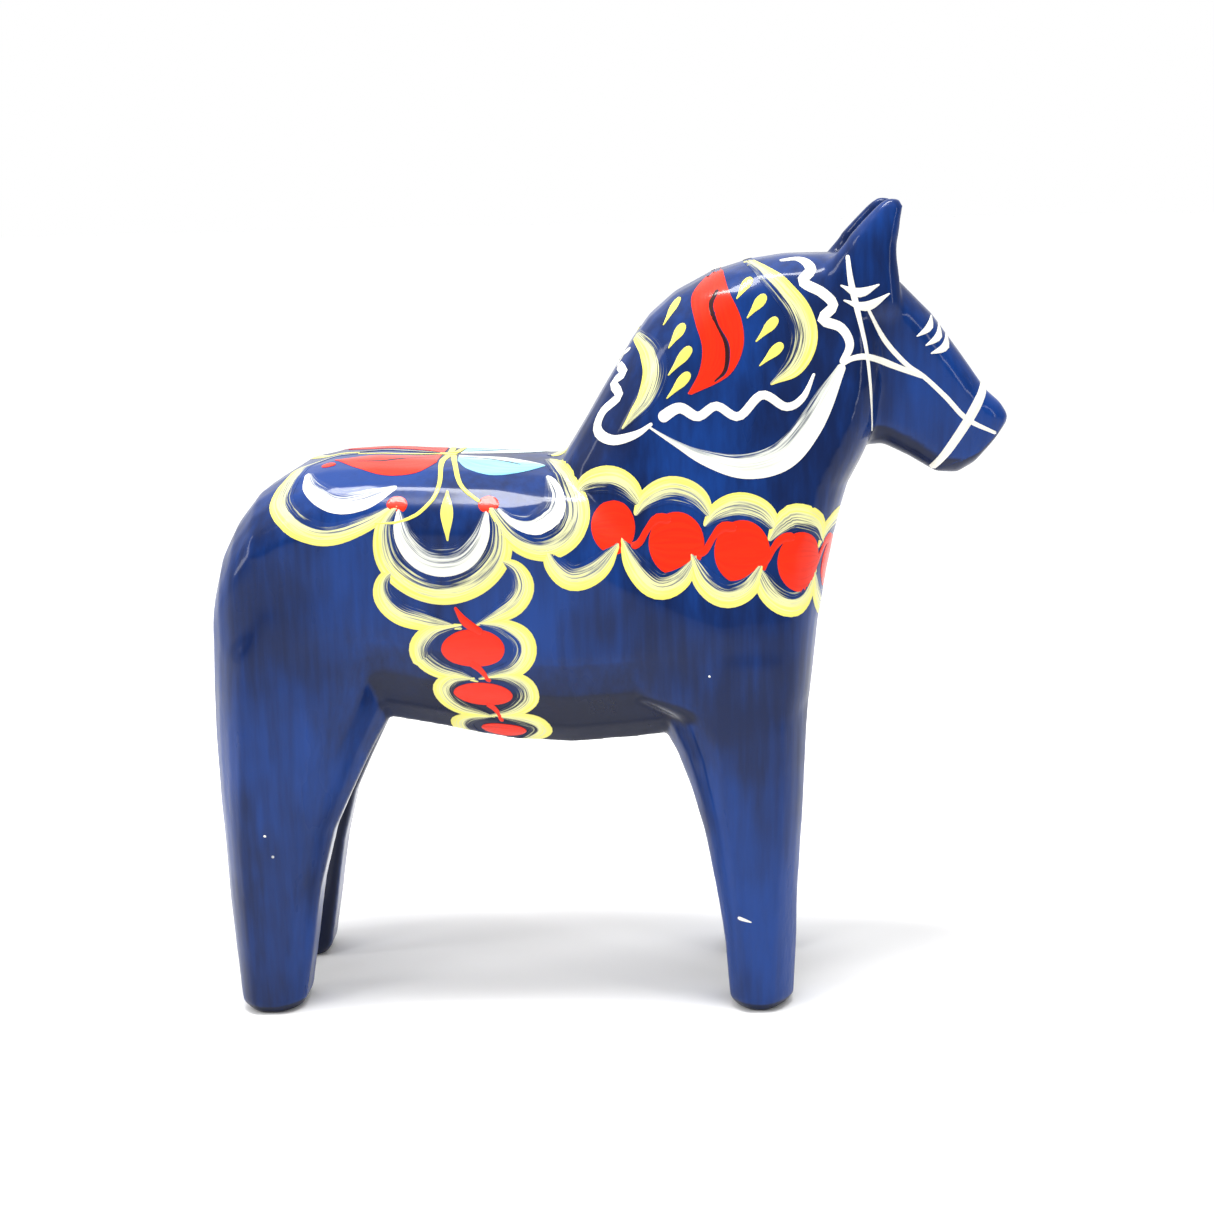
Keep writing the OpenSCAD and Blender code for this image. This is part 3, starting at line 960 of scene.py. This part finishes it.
def neck() -> list[Motif]:
    """Returns the mane's leaf, arcs, drops and waves."""
    arcs = [
        Stroke([(9.5, 209), (14, 204.5), (15.5, 198), (13, 190.5), (9, 185.5), (5.5, 181.5)],
               [4, 7.5, 8, 6.5, 4, 0.8]),
        Stroke([(43.5, 229.5), (48, 226.5), (53.5, 221), (58, 214.5), (59.5, 207), (56.5, 199.5),
                (49.5, 194)], [3, 6, 7, 8, 8, 6, 1], flip=True),
    ]
    heads = [((22.8, 219.3), (18, 211.3)), ((24.3, 212), (19.5, 204.8)), ((26.2, 205.3), (19.3, 197)),
             ((25.7, 197.8), (18.8, 190.3)), ((44.2, 225), (39.8, 218.8)), ((48.4, 220), (42.8, 213.2)),
             ((51.8, 213.3), (45.3, 206.3)), ((53.3, 205.8), (46.3, 199.3))]
    drops = [Stroke([head, tail], [2.4, 3.1, 1.5, 0.4], lift=0.18) for head, tail in heads]
    leaf = [Patch([(35.2, 228), (29.5, 223.5), (26.5, 219), (27.5, 212.5), (29.5, 205), (28.5, 198),
                   (25, 191.5)],
                  [(35.8, 228), (37.5, 221.5), (41, 213.5), (41.8, 206), (39.5, 199.5), (35.5, 195.5),
                   (26, 191.3)])]
    veins = [Stroke([(34.3, 221.5), (32.3, 217), (34, 211.5), (36.8, 205.5), (36.3, 198.5), (33, 195)],
                    [1.6, 1.8, 1.2, 2, 1.6, 0.6], lift=0.26)]
    waves = [
        Stroke([(53, 229.5), (59, 229.8), (62, 227), (59.5, 223.5), (65, 220.3), (68.3, 216.5),
                (65, 212.5), (70.5, 210), (73, 205), (70.5, 199.5)], [1.6, 3.2, 3.2, 3, 3, 2.6, 2]),
        Stroke([(8, 204.5), (4, 200.5), (6, 197.5), (2.7, 194.5), (4.5, 191), (-0.5, 186),
                (-2, 180.8), (2.5, 178.3), (9.5, 180), (14.5, 183.2)], [1.4, 3, 3, 3.2, 3.2, 2.6, 1]),
        Stroke([(16.5, 184.3), (22.5, 187.6), (28, 185), (33.5, 188), (40, 184.8), (47, 191),
                (54, 187.4), (59, 190), (62.5, 197)], [3.6, 3, 2.6, 2.6, 2.6, 2.2, 0.8]),
    ]
    crescent = [Stroke([(13, 182.5), (21, 177.5), (30, 173), (41.5, 170.3), (52.5, 173),
                        (60.5, 181.5), (67, 192.5), (71, 199.5)],
                       [0.6, 2, 5, 7.4, 8.6, 8, 6, 2.4])]
    return [Motif("neck_yellow_arcs", "yellow_paint", YELLOW_LOADED, arcs),
            Motif("neck_yellow_drops", "yellow_paint", YELLOW_FULL, drops),
            Motif("neck_red_leaves", "red_paint", RED_FULL, leaf),
            Motif("neck_dark_veins", "red_paint", BROWN_FULL, veins),
            Motif("mane_white_waves", "white_paint", WHITE_FULL, waves),
            Motif("collar_white_crescents", "white_paint", WHITE_WORN, crescent)]


def bridle() -> list[Motif]:
    """Returns the straps of the bridle, the strokes of the eyes and a few worn chips."""
    straps = [
        Stroke([(72.6, 231), (73.5, 223.5), (75.5, 214.5), (78, 203), (79.3, 190.5), (80, 179)],
               [1.2, 1.9, 1.5, 1.3, 1, 0.6]),
        Stroke([(70.4, 222.3), (76, 220), (82, 222.3)], [0.5, 2.8, 0.5]),
        Stroke([(71.3, 217.9), (78, 216), (85, 219.6)], [0.5, 2.8, 0.5]),
        Stroke([(78.6, 215.2), (83.6, 206), (90.2, 198.5), (95.7, 194.5), (102.4, 188.2),
                (109, 181.3), (118.2, 176.5)], [0.9, 1.5, 1.5, 1.4, 1.5, 1.5, 1]),
        Stroke([(70.6, 199.5), (74.2, 201.2), (78.8, 201.2), (87.5, 197.7), (95.7, 194.5)],
               [1.4, 1.8, 2, 1.7, 1.4]),
        Stroke([(114.8, 191), (112.7, 186.8), (109.1, 180.4), (103.6, 172.4), (98.8, 166.4)],
               [3, 3.2, 3, 2.8, 2.2]),
    ]
    eyes = [Stroke([(98.4, 212.4), (97.3, 209.2), (93.3, 206.6)], [0.6, 2.3, 1.6, 0.4]),
            Stroke([(100.8, 209.8), (100.2, 206.4), (96, 203.8)], [0.8, 2.5, 1.7, 0.4]),
            Stroke([(103.2, 206.6), (102.2, 203.2), (97.6, 201.4)], [1, 2.6, 1.8, 0.4])]
    chips = [Stroke([(38.4, 31.6), (40.4, 31), (42.6, 30.2)], [1.2, 0.9, 0.4], once=True),
             Stroke([(-106.4, 59.6), (-105.6, 59.2)], [0.8, 0.6], once=True),
             Stroke([(30.2, 108.6), (30.8, 108.2)], [0.7, 0.5], once=True)]
    return [Motif("worn_chips", "white_paint", WHITE_FULL, chips),
            Motif("bridle_white_straps", "white_paint", WHITE_FULL, straps),
            Motif("eye_white_strokes", "white_paint", WHITE_FULL, eyes)]


# ---------------------------------------------------------------- studio


@dataclass
class Studio:
    """Pale floor, soft lights and the camera."""

    lens: float = 62.27
    eye: Point = (27.0, -650.0, 254.2)
    yaw: float = 2.5
    down: float = 11.5
    roll: float = -1.2
    front_light: float = 0.45
    back_light: float = 1.0
    overhead_light: float = 0.55
    right_shade: float = 0.5

    def camera(self) -> None:
        """Sets the camera up at the horse's shoulder height."""
        data = bpy.data.cameras.new("camera")
        data.sensor_width = 36.0
        data.lens = self.lens
        data.clip_start = 0.01
        item = bpy.data.objects.new("camera", data)
        turn = (Matrix.Rotation(math.radians(self.yaw), 4, "Z")
                @ Matrix.Rotation(math.radians(90 - self.down), 4, "X")
                @ Matrix.Rotation(math.radians(self.roll), 4, "Z"))
        item.matrix_world = Matrix.Translation(Vector(self.eye) * MM) @ turn
        bpy.context.scene.collection.objects.link(item)
        bpy.context.scene.camera = item

    def floor(self) -> None:
        """Lays a wide pale floor under the feet."""
        deselect()
        bpy.ops.mesh.primitive_circle_add(vertices=96, radius=12, fill_type="NGON")
        item = bpy.context.object
        item.name = "floor"
        sketch = Sketch("pale_floor")
        sketch.shader.inputs["Base Color"].default_value = (0.93, 0.93, 0.93, 1)
        sketch.shader.inputs["Roughness"].default_value = 0.95
        sketch.shader.inputs["Specular IOR Level"].default_value = 0.0
        item.data.materials.append(sketch.material)

    def light(self, name: str, place: Point, aim: Point, size: Point, power: float) -> None:
        """Hangs one soft box.

        Args:
            name: The light's name.
            place: Where it hangs, in metres.
            aim: The point that it faces, in metres.
            size: Its width and height, in metres.
            power: Its power, in watts.
        """
        data = bpy.data.lights.new(name, "AREA")
        data.shape = "RECTANGLE"
        data.size, data.size_y = size
        data.energy = power
        item = bpy.data.objects.new(name, data)
        item.location = place
        item.rotation_euler = (Vector(aim) - Vector(place)).to_track_quat("-Z", "Y").to_euler()
        bpy.context.scene.collection.objects.link(item)

    def world(self) -> None:
        """Fills the room with light, most from above and behind and least from the right.

        The walls look plain white wherever they are seen directly, however little they light
        the horse.
        """
        made = bpy.data.worlds.new("studio_room")
        made.use_nodes = True
        bpy.context.scene.world = made
        tree = made.node_tree
        way = tree.nodes.new("ShaderNodeTexCoord")
        split = tree.nodes.new("ShaderNodeSeparateXYZ")
        tree.links.new(way.outputs["Generated"], split.inputs[0])
        total = None
        for axis, start, end, low, high in ((1, -0.75, 0.15, self.front_light, self.back_light),
                                            (2, 0.15, 0.9, 0.0, self.overhead_light),
                                            (0, 0.28, 0.85, 0.0, -self.right_shade)):
            fade = tree.nodes.new("ShaderNodeMapRange")
            fade.interpolation_type = "SMOOTHSTEP"
            for index, value in enumerate((start, end, low, high), start=1):
                fade.inputs[index].default_value = value
            tree.links.new(split.outputs[axis], fade.inputs[0])
            if total is None:
                total = fade.outputs[0]
                continue
            both = tree.nodes.new("ShaderNodeMath")
            tree.links.new(total, both.inputs[0])
            tree.links.new(fade.outputs[0], both.inputs[1])
            total = both.outputs[0]
        seen = tree.nodes.new("ShaderNodeMath")
        seen.operation = "MAXIMUM"
        tree.links.new(total, seen.inputs[0])
        path = tree.nodes.new("ShaderNodeLightPath")
        tree.links.new(path.outputs["Is Camera Ray"], seen.inputs[1])
        background = tree.nodes["Background"]
        background.inputs[0].default_value = (1, 1, 1, 1)
        tree.links.new(seen.outputs[0], background.inputs[1])

    def build(self) -> None:
        """Sets up everything that isn't the horse."""
        bpy.context.scene.view_settings.view_transform = "Standard"
        self.camera()
        self.floor()
        self.world()
        self.light("key_box", (-1.0, -1.0, 1.2), (0, 0, 0.1), (0.4, 0.4), 4.8)
        self.light("sky_strip", (-0.05, -0.12, 1.0), (0, 0, 0.15), (0.5, 0.17), 9.5)
        self.light("rump_box", (-1.1, -0.25, 0.5), (-0.1, 0, 0.15), (0.16, 0.6), 2.2)
        self.light("chest_box", (1.1, -0.75, 0.5), (0.05, 0, 0.12), (0.12, 0.7), 2)


def main() -> None:
    """Builds the studio, the carved body and its painted ornament."""
    Studio().build()
    enamel = Enamel()
    body = CarvedBody()
    body.build(enamel.make())
    canvas = Canvas(body.tree)
    for motif in saddle() + girth() + chest_band() + neck() + bridle():
        motif.paint_on(canvas, enamel)
    body.clear_away()


if __name__ == "__main__":
    main()
